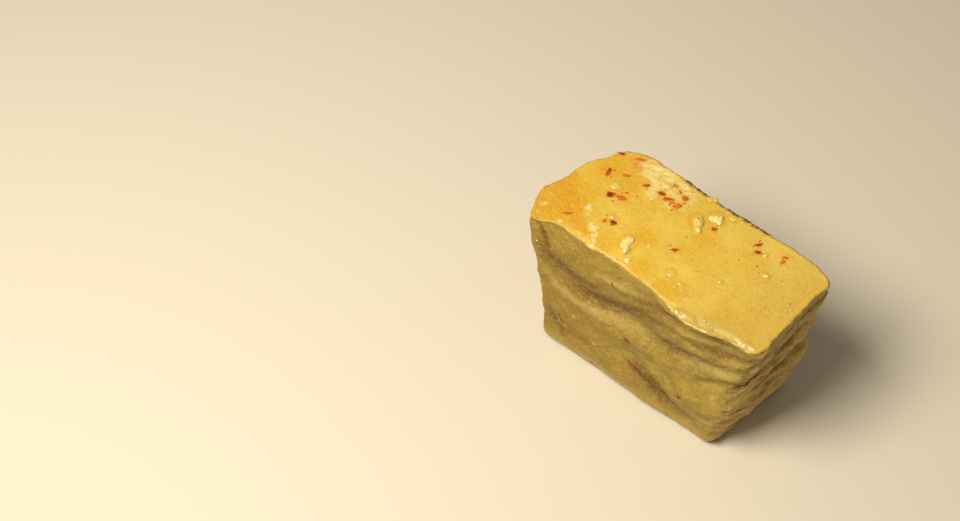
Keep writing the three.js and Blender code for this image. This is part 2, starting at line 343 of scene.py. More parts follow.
# Loose bits of curd on the top: [x, y, length, width, height, turn in degrees, paleness]
crumbs = [
    (-4.8, -4.6, 2.8, 1.5, 0.8, 75, 1), (-4.2, -5.7, 1.2, 1.1, 0.7, 0, 0.7),
    (-2.9, -6.9, 1.1, 0.8, 0.5, 20, 1), (0.4, 4.6, 3.1, 1.8, 0.7, 115, 0.1),
    (1.3, 3.5, 0.9, 0.8, 0.6, 0, 0.9), (1.8, 6.8, 2.6, 1.6, 0.75, 50, 0.9),
    (2.7, 6.5, 1.0, 0.8, 0.5, 20, 0.7), (4.9, -5.5, 1.0, 0.5, 0.3, 20, 0.6),
    (4.5, -6.3, 0.6, 0.4, 0.3, 120, 0.7), (5.6, -6.1, 0.7, 0.45, 0.3, 60, 0.4),
    (6.2, -7.0, 0.5, 0.4, 0.25, 0, 0.3), (-12.2, 2.3, 2.0, 1.4, 0.35, 40, 0.25),
    (-6.6, 7.1, 1.7, 1.2, 0.4, 30, 0.3), (8.8, -1.8, 0.6, 0.5, 0.3, 0, 0.5),
    (2.8, -4.9, 1.7, 1.0, 0.25, 35, 0.3), (-9.2, -2.3, 1.1, 0.8, 0.3, 30, 0.1),
    (10.7, 5.9, 0.8, 0.6, 0.25, 0, 0.3), (-0.6, 9.2, 1.9, 1.0, 0.4, 25, 0),
    (-7.0, 3.8, 0.9, 0.6, 0.25, 0, 0.8), (12.8, 3.1, 1.2, 0.9, 0.4, 10, 0),
    (3.6, 8.3, 1.6, 0.8, 0.3, 20, 0.4), (-12.5, -3.1, 0.8, 0.45, 0.25, 50, 0.9),
    (-9.7, -5.5, 0.7, 0.4, 0.25, 120, 0.9),
]

# Chilli on the top: [x, y, length, width, turn, tone], where tone is 0 for dark red and 1 for orange
topFlakes = [
    (-14.6, 3.8, 1.8, 0.75, 105, 0.4), (-11.9, 0.6, 1.5, 1.0, 35, 0), (-10.3, 1.2, 1.8, 0.8, 15, 0.8),
    (-12.6, 8.5, 1.9, 0.5, 30, 0.8), (-12.4, 4.8, 1.1, 0.5, 15, 0.9), (-9.0, 5.2, 1.2, 0.8, 45, 0.5),
    (-6.6, 5.4, 1.3, 0.8, 10, 0.2), (-5.3, 5.1, 1.7, 0.7, 35, 0.5), (-3.5, 6.9, 1.3, 1.0, 10, 0.7),
    (-3.5, 5.0, 1.6, 1.0, 40, 1), (-8.5, -3.0, 1.0, 0.9, 0, 0), (-9.6, -3.5, 0.8, 0.5, 70, 0.8),
    (-14.6, -5.3, 1.2, 0.4, 30, 0.4), (0.8, -1.3, 1.2, 0.6, 45, 0.3), (2.7, 5.1, 1.1, 0.7, 20, 0.5),
    (8.9, 6.9, 1.4, 0.6, 45, 0.2), (9.6, 5.7, 1.1, 0.7, 30, 0.1), (13.0, 7.4, 1.0, 0.5, 25, 0.8),
    (13.2, 6.5, 0.8, 0.6, 80, 0.9), (-5.9, 7.8, 0.9, 0.4, 0, 0.9), (-4.7, 7.3, 0.9, 0.4, 340, 0.7),
    (-15.3, 7.7, 1.6, 0.5, 20, 0.1),
]
# and on the walls: [side, w, z, length, width, turn, tone]
wallFlakes = [
    (1, 0.5, 12.7, 1.5, 1.3, 0, 0), (1, 5.2, 5.1, 0.9, 0.5, 300, 0.2), (1, 10.0, 7.3, 0.8, 0.8, 0, 0.3),
    (1, -12.5, 7.0, 0.6, 0.5, 0, 0.3), (1, 1.5, 7.4, 1.4, 0.45, 325, 0.15),
    (1, 2.5, 6.7, 1.3, 0.6, 320, 0), (1, 2.6, 7.7, 1.3, 0.3, 85, 0.2), (1, 3.5, 5.9, 1.2, 0.35, 310, 0),
    (1, 21.0, 15.9, 1.3, 0.5, 20, 0.2), (1, 30.5, 24.3, 0.9, 0.7, 40, 0.7),
    (1, -2.7, 22.4, 1.0, 0.3, 300, 0.2), (1, -11.4, 7.5, 1.2, 0.35, 290, 0.2),
    (1, -11.0, 6.4, 0.9, 0.3, 300, 0.3), (-1, -9.2, 12, 0.9, 0.6, 20, 0.3),
    (-1, 1.8, 18, 1.2, 0.5, 70, 0.5), (-1, 9.8, 7, 0.8, 0.6, 0, 0.1), (-1, 14.8, 21, 1.0, 0.5, 40, 0.7),
    (-1, 26.8, 14, 1.1, 0.6, 310, 0.2), (-1, 30.8, 8, 0.7, 0.6, 0, 0.5),
]
topSpecks = [
    (-6.0, 2.1), (-4.2, -7.6), (1.3, -6.5), (3.2, -3.3), (5.3, -2.2), (10.9, 3.7), (8.4, 3.0),
    (17.9, 1.4), (4.3, 3.1), (-9.9, -2.5), (-4.0, -2.8), (12.5, 3.1), (-8.8, 2.8), (0.7, 1.5),
    (13.3, 5.8),
]
wallSpecks = [
    (1, -3.8, 4.9), (1, -5.1, 1.3), (1, 13.6, 6.7), (1, 16.9, 15.0), (1, 7.5, 15.5), (1, -11.2, 7.7),
    (1, -1.3, 24.2), (1, 10.1, 10.2), (1, 12.8, 9.4), (1, -10.9, 3.8),
]
moreSpecks = {"top": 26, "walls": 40}

# Clear drops and beads of brine: [x, y, width] on the top and [side, w, z, width] on the walls
topDrops = [
    (12.6, 1.4, 0.4), (13.7, 0.3, 0.35), (-9.3, -5.7, 0.28), (-9.9, -5.1, 0.25), (-9, -6.7, 0.28),
    (-13, -7.5, 0.28), (-14.6, -6.9, 0.25), (-12.3, -7.7, 0.25), (-10.5, -7.7, 0.25), (-19.1, -3.9, 0.3),
    (5.2, -5.3, 0.45), (4.6, -6.1, 0.4), (-4, -6, 0.45), (-4.8, -4.5, 0.4), (1.3, 3.3, 0.4),
    (1.7, 7.3, 0.4), (1, -8.3, 0.35), (-3.1, -8.1, 0.3), (4.3, -8.6, 0.35), (-6.7, -8, 0.3),
    (7.1, -9.1, 0.4), (10.9, -8.2, 0.45), (11.7, -8.2, 0.35), (13, -7.7, 0.4), (17.7, -7.5, 0.4),
]
wallDrops = [
    (1, -16.0, 21.6, 0.5), (1, -15.5, 20.6, 0.4), (1, -15.2, 19.2, 0.35), (1, -13.3, 20.8, 0.4),
    (1, -12.3, 19.6, 0.35), (1, -15.1, 17.6, 0.3), (-1, 5.8, 22, 0.5), (-1, -4.2, 13, 0.4),
    (-1, 23.8, 20, 0.45),
]


def copyNode(nodeName, pieceName):
    pick(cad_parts[nodeName])
    bpy.ops.object.duplicate()
    piece = bpy.context.object
    piece.name = piece.data.name = pieceName
    piece.parent = None
    for key in list(piece.keys()):
        del piece[key]
    bpy.ops.object.mode_set(mode="EDIT")
    bpy.ops.mesh.select_all(action="SELECT")
    bpy.ops.mesh.remove_doubles(threshold=1e-6)
    bpy.ops.object.mode_set(mode="OBJECT")
    return piece


def foldPlaces(places, seen):
    # x and y, with the height over the nearest fold's line in place of z, so that streaks follow the folds
    x, y, z = places.T
    upper = ramp(7, 13, z)
    rise = np.zeros(len(z))
    for side, share in ((1, seen), (-1, 1 - seen)):
        w = side * (x + y) + 10
        high = np.interp(w, *np.array(foldRise[side]).T)
        low = np.interp(w, *np.array(footRise[side]).T)
        rise += share * (high * upper + low * (1 - upper))
    return np.column_stack([x, y, z - rise])


def sculptWalls(piece, wall, seen, right):
    # gives how far each vertex of the walls is pushed out, the masks that come with it, and its place
    # along the folds
    places, normals = verticesOf(piece), normalsOf(piece)
    x, y, z = places.T
    wrap = np.where(seen > 0.5, x + y, -x - y) + 10
    stretched = foldPlaces(places, seen)

    broad = neighbourMean(piece, places, curd["broadTimes"])
    # how far each place lies in a hollow, which the material paints darker as painted shade and brine stain
    furrow = ramp(-0.02, 0.3, ((broad - places) * normals).sum(1))
    busy = np.clip(0.5 + 0.6 * furrow + 0.8 * right, 0, 1.5)

    long, thin = curd["streakSize"]
    streak = roughness(stretched, (long, long, thin), 3, 1)
    lines = roughness(stretched, (long * 1.2, long * 1.2, thin * 1.3), 2, 2)
    wrinkle = np.clip(1 - np.abs(lines) / 0.2, 0, 1) * ramp(0.0, 0.6, roughness(places, 5, 1, 3) + 0.3 * busy)
    long, thin = curd["fineStreakSize"]
    fine = roughness(stretched, (long, long, thin), 2, 9)
    lump = roughness(places, curd["lumpSize"], 2, 4)
    grain = roughness(places, curd["grainSize"], 2, 5)
    coarse = roughness(stretched, (2, 2, 0.6), 3, 6)

    push = curd["lumpDepth"] * lump + curd["streakDepth"] * streak * busy
    push += curd["fineStreakDepth"] * fine * (busy + 1.5 * right) - curd["wrinkleDepth"] * wrinkle * busy
    push += curd["grainDepth"] * grain + curd["endDepth"] * coarse * np.maximum(right, 0.4 * (1 - seen))

    flat = np.column_stack([wrap, z])
    wobble = np.column_stack([roughness(places, 1.8, 2, 7), roughness(places, 1.8, 2, 8)])
    wobble *= curd["creaseWobble"]
    # the creases are painted darker, as painted shade and brine stain
    crease = wrinkle * busy * 0.4
    shade = np.zeros(len(z))
    for side, depth, width, breadth, line in creases:
        share = seen if side > 0 else 1 - seen
        gap, above, along = gapToLine(line, flat + wobble)
        fade = share * np.sin(np.pi * np.clip(along, 0.03, 0.97)) ** 0.8
        cut = bell(gap, width) * fade
        brow = bell(gap - 2.2 * width, 1.2 * width) * fade * above  # a swelling just over the cut
        push += depth * (0.4 * brow - cut)
        crease = np.maximum(crease, cut * min(1, depth / 0.4))
        # a band of painted shade and brown brine stain along each crease
        shade = np.maximum(shade, bell(gap, breadth) * fade)
    # the crests are painted paler, as painted light on the ridges
    crest = np.zeros(len(z))
    for side, height, width, line in crests:
        gap, _, along = gapToLine(line, flat + wobble)
        rise = bell(gap, width) * (seen if side > 0 else 1 - seen)
        rise *= np.sin(np.pi * np.clip(along, 0.03, 0.97)) ** 0.6
        push += height * rise
        crest = np.maximum(crest, rise)

    fleck = np.zeros(len(z))
    for i in random.choices(list(np.flatnonzero((wall > 0.9) & (z > 1))), k=curd["fleckCount"]):
        radius = random.uniform(*curd["fleckRadius"])
        fleck = np.maximum(fleck, bell(np.linalg.norm(places - places[i], axis=1), radius))
    fleck *= 0.6 + 0.6 * grain
    push += curd["fleckHeight"] * fleck
    masks = {"crease": crease, "shade": shade, "crest": crest, "fleck": fleck, "furrow": furrow,
             "soaked": seen * ramp(5, -8, wrap)}
    return push * wall, {name: values * wall for name, values in masks.items()}, stretched


def sculptTop(piece, top, rim):
    # the same for the cut top and its rim, and how damp the lip and the tear's step are
    places, normals = verticesOf(piece), normalsOf(piece)
    flat = places[:, :2]
    lump = roughness(places, 0.9, 2, 22)
    crumbly = roughness(places, 0.55, 3, 24)
    push = curd["topWave"] * (roughness(places, 4.5, 2, 20) + 0.3 * roughness(places, 1.3, 2, 21))

    # the lip is paler, lumpy and wet along its crest, but the face under it is as dark as the wall
    gap, above, _ = gapToLine([spot[:2] for spot in lipLine], flat + 0.2 * lump[:, None])
    half = np.interp(places[:, 0], *np.array(lipLine).T[[0, 2]], left=0.1, right=0.1)
    half *= np.where(above, 1, 1.6)
    high = ramp(24.1, 24.9, places[:, 2]) * ramp(-0.1, 0.35, normals[:, 2])
    lip = ramp(1.5, 0.4, gap / half + 0.5 * lump + 0.3 * crumbly) * high
    push += curd["lipRise"] * bell(gap / half, 0.9) * high * (0.9 + 1.5 * lump)
    outwards = np.where(above, -gap, gap) / half + 0.3 * lump
    push -= curd["lipFall"] * ramp(-0.2, 1.1, outwards) * high * ramp(0.2, 0.5, lip)
    glint = ramp(0, 0.25, lump + 0.5 * crumbly)

    spots = nearSpots(flat, rawSpots)
    wisps = roughness(places @ slant, (0.9, 0.45, 1), 3, 23)
    raw = ramp(0.35, 0.95, spots + 0.4 * wisps)
    fibre = nearSpots(flat, fibreSpots) * ramp(-0.1, 0.3, wisps)
    push += spots * (0.05 + 0.08 * wisps)

    gap, above, _ = gapToLine(tearLine, flat)
    step = bell(gap, 0.6) * ramp(topHeight - 3.5, topHeight - 2.5, places[:, 2])
    step *= ramp(0.35, 0.6, normals[:, 2])
    top = np.maximum(top, step)
    torn = np.where(above, 0, 1) * top
    # darker orange towards the tear, and the tear's step, which faces the lamp, painted dark as painted shade
    hollow = np.maximum(torn * bell(gap, 2.2) * (0.7 + 0.5 * roughness(places, 2.2, 2, 26)), step * torn)
    push += torn * 0.08 * lump
    worn = nearSpots(flat + 0.25 * lump[:, None], wornSpots)
    worn = ramp(0.45, 0.85, worn + 0.7 * crumbly)
    push += worn * (0.1 + 0.1 * crumbly)
    gap, _, _ = gapToLine(frontRim, flat + 0.2 * lump[:, None])
    breadth = curd["bandWidth"] * (0.1 + 1.5 * ramp(-17, -12, places[:, 0]))
    band = ramp(1, 0.4, gap / breadth + 0.3 * crumbly) * torn
    band += 0.6 * ramp(1.1, 0.4, gap + 0.2 * crumbly) * (1 - torn)
    torn = torn * (1 - 0.85 * bell(gap, 2.6) * ramp(-17.5, -13.5, places[:, 0]))
    push += 0.05 * band * crumbly

    film = nearSpots(flat, filmSpots) + 0.4 * roughness(places, 5, 2, 25) + ramp(2, -16, places[:, 0]) * 0.3
    for x, y, length, width, *_ in crumbs:
        reach = np.hypot(flat[:, 0] - x, flat[:, 1] - y) / (length + width) * 4
        film = np.maximum(film, 0.9 * bell(reach - 1.1, 0.5))
        push += 0.06 * bell(reach - 1, 0.35)
    film *= 1 - lip

    stained = stainSpots + [(x, y, 0.5 * length) for x, y, length, *_ in topFlakes]
    stain = nearSpots(flat + 0.25 * lump[:, None], stained) * (0.8 + 0.6 * wisps)
    gap, _, _ = gapToLine(rindLine, flat)
    rind = np.clip(1.8 * rim, 0, 1) * bell(gap, 1.1) * ramp(-0.25, 0.25, crumbly + 0.2)
    push += curd["rindHeight"] * rind * (0.5 + crumbly)
    push *= top
    push += rimNub["height"] * bell(np.linalg.norm(places - rimNub["at"], axis=1), rimNub["reach"])
    masks = {"lip": lip * (0.85 + 0.4 * lump), "worn": worn * top, "raw": raw * top, "fibre": fibre * top,
             "pool": film * top, "torn": torn, "band": band * top, "hollow": hollow, "stain": stain * top,
             "rind": rind, "wet": np.maximum(lip, np.maximum(worn, band * torn) * top) * glint,
             "far": ramp(4, 20, places[:, 0] - 0.5 * places[:, 1]) * top}
    return push, masks, np.maximum(lip, step)


def makeCurd():
    piece = copyNode("curd_block", "curd")
    applyModifier(piece, "REMESH", mode="VOXEL", voxel_size=curd["voxel"] * mm, adaptivity=0)
    applyModifier(piece, "SMOOTH", factor=0.5, iterations=curd["smoothing"])
    places, normals = verticesOf(piece), normalsOf(piece)
    z = places[:, 2]
    facing = neighbourMean(piece, normals, curd["facingTimes"])
    facing /= np.linalg.norm(facing, axis=1)[:, None]
    top = ramp(0.5, 0.85, normals[:, 2]) * ramp(topHeight - 5, topHeight - 3.5, z)
    wall = (1 - top) * ramp(0.3, 1.4, z)
    seen = ramp(-0.12, 0.12, facing[:, 0] - facing[:, 1])
    right = ramp(0.3, 0.7, facing[:, 0])
    rim = 4 * normals[:, 2] ** 2 * (1 - normals[:, 2] ** 2) * ramp(topHeight - 3.5, topHeight - 2.2, z)

    wallPush, wallMasks, foldPlace = sculptWalls(piece, wall, seen, right)
    topPush, masks, damp = sculptTop(piece, top, rim)
    push = wallPush + topPush + rim * (curd["rimSharpness"] + 0.12 * roughness(places, 1.1, 3, 30))
    moved = places + normals * push[:, None]
    moved[:, 2] = np.maximum(moved[:, 2], 0)
    moveVertices(piece, moved)

    # faces that look up take the top's colours, the rest the darker wall colours, which are partly painted
    # shade
    film = ramp(0.72, 0.86, normals[:, 2]) * ramp(topHeight - 5, topHeight - 3.5, z)
    # painted light: the right end, which the lamp doesn't reach, is painted paler and warmer, and so are the
    # back wall and the left end, but less
    paler = np.maximum(ramp(0.5, 0.9, facing[:, 0]), 0.7 * (1 - seen))
    masks.update(wallMasks)
    # the foot, wet with brine, is painted lighter and yellower: painted light thrown up off the brine, and
    # brine soaked into it
    masks.update(film=np.maximum(film, damp), end=paler * wall, foot=wall * ramp(3.5, 1.5, z))
    for name, values in masks.items():
        paint(piece, name, values)
    paint(piece, "foldPlace", foldPlace)
    pick(piece)
    bpy.ops.object.shade_smooth()
    return piece


# Fermented bean curd, pressed in cloth and aged in salty brine: dense, pale and creamy, so light goes a
# little way in. The cut top carries a film of brine, and the walls are duller, with painted shade and brine
# stain in the creases.
def makeCurdMaterial(masks):
    material, tree, shader = newMaterial("brinedBeanCurd")
    coords = addNode(tree, "ShaderNodeTexCoord").outputs["Object"]
    folds = addNode(tree, "ShaderNodeAttribute", {"attribute_name": "foldPlace"}).outputs["Vector"]
    # streaks 3.2 mm long and 0.5 mm thick lie along the folds
    along = addNode(tree, "ShaderNodeMapping", {"Scale": (1 / 3.2, 1 / 3.2, 1 / 0.5)}, {"Vector": folds})
    along = along.outputs[0]
    mask = {n: addNode(tree, "ShaderNodeAttribute", {"attribute_name": n}).outputs["Fac"] for n in masks}
    blotch = addNode(tree, "ShaderNodeTexNoise", {"Scale": 1 / (3.5 * mm), "Detail": 4}, {"Vector": coords})
    cloud = addNode(tree, "ShaderNodeTexNoise", {"Scale": 1 / (1.6 * mm), "Detail": 3}, {"Vector": folds})
    grain = addNode(tree, "ShaderNodeTexNoise", {"Scale": 1 / (0.4 * mm), "Detail": 3}, {"Vector": coords})
    streak = addNode(tree, "ShaderNodeTexNoise", {"Scale": 1, "Detail": 4}, {"Vector": along})
    sliver = addNode(tree, "ShaderNodeTexNoise", {"Scale": 2.6, "Detail": 2}, {"Vector": along})
    dust = addNode(tree, "ShaderNodeTexVoronoi", {"Scale": 1 / (1.3 * mm)}, {"Vector": coords})
    blotches = addNode(tree, "ShaderNodeMapRange", {1: 0.38, 2: 0.62}, {0: blotch.outputs["Fac"]}).outputs[0]
    clouds = addNode(tree, "ShaderNodeMapRange", {1: 0.45, 2: 0.62}, {0: cloud.outputs["Fac"]}).outputs[0]
    grains = addNode(tree, "ShaderNodeMapRange", {1: 0.5, 2: 0.7}, {0: grain.outputs["Fac"]}).outputs[0]
    pits = addNode(tree, "ShaderNodeMapRange", {1: 0.46, 2: 0.32}, {0: grain.outputs["Fac"]}).outputs[0]
    streaks = addNode(tree, "ShaderNodeMapRange", {1: 0.38, 2: 0.7}, {0: streak.outputs["Fac"]}).outputs[0]
    slivers = addNode(tree, "ShaderNodeMapRange", {1: 0.58, 2: 0.72}, {0: sliver.outputs["Fac"]}).outputs[0]
    dusts = addNode(tree, "ShaderNodeMapRange", {1: 0.1, 2: 0.05}, {0: dust.outputs["Distance"]}).outputs[0]

    # pale slivers, stronger on the walls painted lighter for want of lamp light
    ridge = addNode(tree, "ShaderNodeMath", {"operation": "MULTIPLY"}, {0: slivers, 1: mask["end"]})
    # the walls are painted duller and darker than the cut top: partly the skin's own colour, partly painted
    # shade for the light the walls miss
    skin = stackColours(tree, "#a28c34", [
        ("#886e24", blotches, 0.55),
        ("#b59e52", clouds, 0.45),
        ("#8c701d", mask["soaked"], 0.6),
        ("#7c6020", streaks, 0.3),
        # hollows painted darker: painted shade and brine stain
        ("#79591a", mask["furrow"], 0.2),
        # walls away from the lamp painted paler: painted light
        ("#cda960", mask["end"], 0.9),
        # crests painted paler: painted light on the ridges
        ("#bda660", mask["crest"], 0.65),
        # bands along the creases painted dark brown: painted shade and brine stain
        ("#5f4212", mask["shade"], 0.78),
        # creases painted darker: painted shade and brine stain
        ("#573712", mask["crease"], 0.4),
        ("#bfae78", grains, 0.26),
        ("#6a4f22", pits, 0.28),
        ("#c9b98a", slivers, 0.25),
        ("#cfbf88", ridge.outputs[0], 0.45),
        # foot painted lighter and yellower: painted light off the brine, and brine soaked into it
        ("#b0913a", mask["foot"], 0.6),
        ("#cdbf90", mask["fleck"], 0.5),
        ("#7c451d", dusts, 0.3),
        ("#5c2412", mask["rind"], 1),
    ])
    cut = stackColours(tree, "#cbae44", [
        ("#d6bf5e", blotches, 0.6),
        ("#c89e20", mask["pool"], 0.85),
        ("#bb9c42", mask["far"], 0.6),
        ("#c0921e", mask["torn"], 0.88),
        # darker orange towards the tear, with painted shade on its step
        ("#b87c14", mask["hollow"], 0.5),
        ("#dcc064", mask["band"], 0.9),
        ("#d8c67a", mask["raw"], 0.85),
        ("#ebe0b2", mask["fibre"], 0.7),
        ("#e6d69c", mask["worn"], 0.75),
        ("#b9a65e", mask["lip"], 0.75),
        ("#cc7420", mask["stain"], 0.65),
        ("#dcc678", grains, 0.26),
        ("#b08a30", pits, 0.26),
        ("#a8702a", dusts, 0.3),
        ("#5c2412", mask["rind"], 1),
    ])
    colour = addNode(tree, "ShaderNodeMix", {"data_type": "RGBA"}, {0: mask["film"], 6: skin, 7: cut})
    tree.links.new(colour.outputs[2], shader.inputs["Base Color"])

    damp = addNode(tree, "ShaderNodeMath", {"operation": "MAXIMUM"}, {0: mask["film"], 1: mask["foot"]})
    damp = damp.outputs[0]
    gloss = addNode(tree, "ShaderNodeMapRange", {3: 0.64, 4: 0.38}, {0: damp})
    tree.links.new(gloss.outputs[0], shader.inputs["Roughness"])
    coat = addNode(tree, "ShaderNodeMath", {"operation": "MULTIPLY_ADD", 1: 0.3}, {0: damp, 2: mask["wet"]})
    tree.links.new(coat.outputs[0], shader.inputs["Coat Weight"])
    depth = addNode(tree, "ShaderNodeMapRange", {3: 0.12, 4: 0.3}, {0: damp})
    tree.links.new(depth.outputs[0], shader.inputs["Subsurface Weight"])
    heights = {0: grain.outputs["Fac"], 1: streak.outputs["Fac"]}
    relief = addNode(tree, "ShaderNodeMath", {"operation": "ADD"}, heights).outputs[0]
    bump = addNode(tree, "ShaderNodeBump", {"Strength": 1, "Distance": 0.06 * mm}, {"Height": relief})
    tree.links.new(bump.outputs["Normal"], shader.inputs["Normal"])
    shader.inputs["IOR"].default_value = 1.36
    shader.inputs["Subsurface Radius"].default_value = (0.9, 0.8, 0.55)
    shader.inputs["Subsurface Scale"].default_value = 0.4 * mm
    shader.inputs["Coat Roughness"].default_value = 0.08
    return material


def finishPiece(piece, material):
    piece.data.materials.clear()
    piece.data.materials.append(material)
    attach(piece, "root")
    print(piece.name, len(piece.data.polygons), "faces")


curdPiece = makeCurd()
curdMasks = [layer.name for layer in curdPiece.data.attributes if layer.data_type == "FLOAT"]
finishPiece(curdPiece, makeCurdMaterial(curdMasks))
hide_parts("curd_block")
skinTree = BVHTree.FromObject(curdPiece, bpy.context.evaluated_depsgraph_get())


def touch(start, way):
    # place and outward normal, where a ray from the start meets the skin
    place, normal, _, _ = skinTree.ray_cast(Vector(start) * mm, Vector(way))
    return np.array(place) / mm, np.array(normal)


def touchTop(x, y):
    return touch((x, y, topHeight + 20), (0, 0, -1))


def touchWall(side, w, z):
    # side is 1 for the front wall and the right end, and -1 for the back wall and the left end
    return touch((side * (w / 2 + 55), side * (w / 2 - 65), z), (-side, side, 0))


def axesAt(normal, turn):
    # two axes that lie on the skin, the first one turned from level by so many degrees
    level = np.array([1.0, 0, 0]) if normal[2] > 0.8 else np.cross([0, 0, 1], normal)
    level = level - normal * (level @ normal)
    level /= np.linalg.norm(level)
    upright = np.cross(normal, level)
    angle = math.radians(turn)
    first = level * math.cos(angle) + upright * math.sin(angle)
    return first, upright * math.cos(angle) - level * math.sin(angle)


def joinAs(pieces, name):
    pick(*pieces)
    bpy.ops.object.join()
    piece = bpy.context.object
    bpy.ops.object.transform_apply(location=True, rotation=True, scale=True)
    piece.name = piece.data.name = name
    return piece


def layCopies(model, name, spots, ragged, sink):
    # lays a copy of the model on the skin at each spot, given as place, normal, length, width, height, turn
    # and tone, bent to the skin under it. ragged varies the outlines, and sink is the share under the skin.
    unit = verticesOf(model)
    copies = []
    for place, normal, length, width, height, turn, tone in spots:
        first, second = axesAt(normal, turn)
        seed = random.uniform(0, 90)
        swell = 1 + ragged * np.array([noise.noise(Vector(p) * 2.2 + Vector((seed, 0, 0))) for p in unit])
        u, v, h = (unit * swell[:, None]).T
        moved = place + np.outer(u * length / 2, first) + np.outer(v * width / 2, second)
        for i, spot in enumerate(moved):
            under, *_ = skinTree.ray_cast(Vector(spot + normal * 1.2) * mm, Vector(-normal), 2.4 * mm)
            if under is not None:
                moved[i] = np.array(under) / mm
        moved += np.outer((h + 1 - 2 * sink) * height / 2, normal)
        pick(model)
        bpy.ops.object.duplicate()
        copy = bpy.context.object
        moveVertices(copy, moved)
        paint(copy, "tone", np.full(len(unit), tone))
        copies.append(copy)
    bpy.data.objects.remove(model)
    piece = joinAs(copies, name)
    bpy.ops.object.shade_smooth()
    return piece


# Loose curd: soft crumbs that broke off the block, each a heap of small soft beads that run together.
crumb = {
    "beads": 5,
    "beadSize": (0.5, 0.8),  # as a share of the crumb's width
    "beadSpread": 0.75,
    "core": (0.42, 0.42, 0.5),  # shares of the length, width and height
    "voxel": 0.08,
    "smoothing": 14,
    "lumpSize": 0.45,
    "lumpDepth": 0.07,
}


def makeCrumbs():
    beads = []
    for x, y, length, width, height, turn, _ in crumbs:
        place, normal = touchTop(x, y)
        first, second = axesAt(np.array([0, 0, 1.0]), turn)
        for _ in range(crumb["beads"]):
            out, angle = math.sqrt(random.random()) * crumb["beadSpread"], random.uniform(0, 2 * math.pi)
            size = random.uniform(*crumb["beadSize"]) * width / 2
            spot = place + first * out * math.cos(angle) * length / 2
            spot = spot + second * out * math.sin(angle) * width / 2
            spot[2] += height * (1 - 0.8 * out**2) * random.uniform(0.6, 0.9) - size
            deselectAll()
            bpy.ops.mesh.primitive_ico_sphere_add(
                subdivisions=2, radius=size * mm, location=Vector(spot) * mm)
            beads.append(bpy.context.object)
        core = [whole * share * mm for whole, share in zip((length, width, height), crumb["core"])]
        bpy.ops.mesh.primitive_ico_sphere_add(
            subdivisions=3, radius=1, location=Vector(place) * mm, scale=core,
            rotation=(0, 0, math.radians(turn)))
        beads.append(bpy.context.object)
    piece = joinAs(beads, "curdCrumbs")
    applyModifier(piece, "REMESH", mode="VOXEL", voxel_size=crumb["voxel"] * mm, adaptivity=0)
    applyModifier(piece, "SMOOTH", factor=0.5, iterations=crumb["smoothing"])
    places = verticesOf(piece)
    push = crumb["lumpDepth"] * roughness(places, crumb["lumpSize"], 2, 40)
    moveVertices(piece, places + normalsOf(piece) * push[:, None])
    tone = np.zeros(len(places))
    for x, y, length, width, _, _, paleness in crumbs:
        reach = np.hypot(places[:, 0] - x, places[:, 1] - y) / length
        tone = np.maximum(tone, paleness * ramp(0.6, 0.4, reach))
    paint(piece, "tone", tone)
    bpy.ops.object.shade_smooth()
    return piece


# The same curd in crumbs, paler because brine washed them, with a wet shine. The thin ones are as yellow
# as the top.
def makeCrumbMaterial():
    material, tree, shader = newMaterial("looseCurd")
    coords = addNode(tree, "ShaderNodeTexCoord").outputs["Object"]
    cloud = addNode(tree, "ShaderNodeTexNoise", {"Scale": 1 / (0.8 * mm), "Detail": 3}, {"Vector": coords})
    grain = addNode(tree, "ShaderNodeTexNoise", {"Scale": 1 / (0.25 * mm), "Detail": 2}, {"Vector": coords})
    clouds = addNode(tree, "ShaderNodeMapRange", {1: 0.4, 2: 0.65}, {0: cloud.outputs["Fac"]}).outputs[0]
    grains = addNode(tree, "ShaderNodeMapRange", {1: 0.4, 2: 0.7}, {0: grain.outputs["Fac"]}).outputs[0]
    tone = addNode(tree, "ShaderNodeAttribute", {"attribute_name": "tone"}).outputs["Fac"]
    colour = stackColours(tree, "#cbaf4c", [
        ("#e2cf8c", tone, 0.95),
        ("#c4a848", clouds, 0.3),
        ("#efe2b4", grains, 0.2),
    ])
    tree.links.new(colour, shader.inputs["Base Color"])
    heights = {"Height": grain.outputs["Fac"]}
    bump = addNode(tree, "ShaderNodeBump", {"Strength": 0.5, "Distance": 0.04 * mm}, heights)
    tree.links.new(bump.outputs["Normal"], shader.inputs["Normal"])
    gloss = addNode(tree, "ShaderNodeMapRange", {3: 0.3, 4: 0.5}, {0: clouds})
    tree.links.new(gloss.outputs[0], shader.inputs["Roughness"])
    shader.inputs["IOR"].default_value = 1.4
    shader.inputs["Subsurface Weight"].default_value = 0.5
    shader.inputs["Subsurface Radius"].default_value = (0.9, 0.8, 0.55)
    shader.inputs["Subsurface Scale"].default_value = 0.4 * mm
    shader.inputs["Coat Weight"].default_value = 1
    shader.inputs["Coat IOR"].default_value = 1.7
    shader.inputs["Coat Roughness"].default_value = 0.08
    return material


finishPiece(makeCrumbs(), makeCrumbMaterial())

# Chilli: thin curled scraps of dried skin, soaked soft and stuck to the curd.
chilli = {
    "height": 0.09,
    "ragged": 0.9,
    "sink": 0.3,
    "spread": 1.12,  # the listed flakes are laid this much larger
    "rim": 0.45,  # the model is a disc of radius 1, domed inside this rim
    "dome": (0.15, 0, 0.6),
    "thickness": 0.4,
    "bits": 2,  # small scraps beside each flake on the top
    "bitReach": (0.45, 0.8),
    "bitSize": (0.2, 0.4),
}


